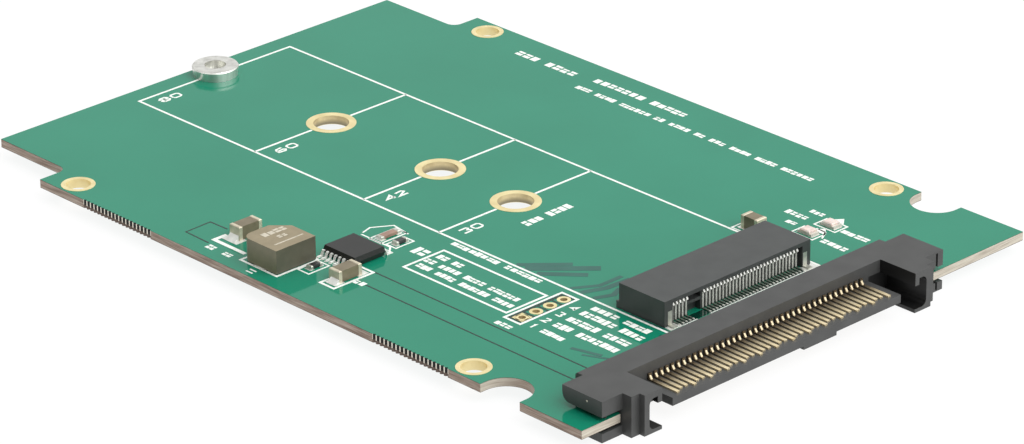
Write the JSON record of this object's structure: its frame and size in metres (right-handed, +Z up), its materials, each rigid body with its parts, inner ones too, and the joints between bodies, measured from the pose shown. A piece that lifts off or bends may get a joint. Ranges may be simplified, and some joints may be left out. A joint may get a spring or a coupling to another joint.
{
  "type": "nvme ssd adapter",
  "caption": "Flat circuit-board carrier that takes a small M.2 storage module and presents it to a drive bay through an edge-mounted drive plug.",
  "frame": {"origin": "centre of the rectangle of the corner mounting holes, on the circuit board's underside", "axes": "+X across the card towards the status lights, +Y from the drive plug to the rear tab, +Z up out of the component side"},
  "size_m": [0.066, 0.0986, 0.0052],
  "materials": {
    "board_mask": "satin green solder mask with bare edges",
    "gold_plating": "flash gold over copper",
    "white_print": "matt white ink, slightly uneven",
    "black_moulding": "glass-filled moulding, fine matt grain",
    "gold_contact": "polished gold",
    "nickel": "turned, nickel plated",
    "tin": "bright tin",
    "solder": "bright reflowed solder",
    "ferrite": "matt grey-brown ferrite",
    "capacitor_ceramic": "satin brown ceramic",
    "epoxy": "matt black epoxy",
    "resistor_ceramic": "black glaze",
    "light_base": "matt white",
    "light_lens": "milky clear resin"
  },
  "bodies": {
    "root": {"circuit_board": "board_mask", "plug_housing": "black_moulding", "plug_upper_contacts": "gold_contact", "plug_lower_contacts": "gold_contact", "plug_hold_downs": "tin", "socket_housing": "black_moulding", "socket_first_contacts": "tin", "socket_second_contacts": "tin", "socket_tabs": "tin", "standoff": "nickel", "standoff_screw": "nickel", "inductor_body": "ferrite", "inductor_terminals": "tin", "regulator_body": "epoxy", "regulator_leads": "tin", "input_capacitor_body": "capacitor_ceramic", "input_capacitor_ends": "tin", "output_capacitor_body": "capacitor_ceramic", "output_capacitor_ends": "tin", "socket_capacitor_body": "capacitor_ceramic", "socket_capacitor_ends": "tin", "fuse_body": "capacitor_ceramic", "fuse_ends": "tin", "resistor_bodies": "resistor_ceramic", "resistor_ends": "tin", "led_bases": "light_base", "led_lenses": "light_lens"}
  },
  "joints": []
}
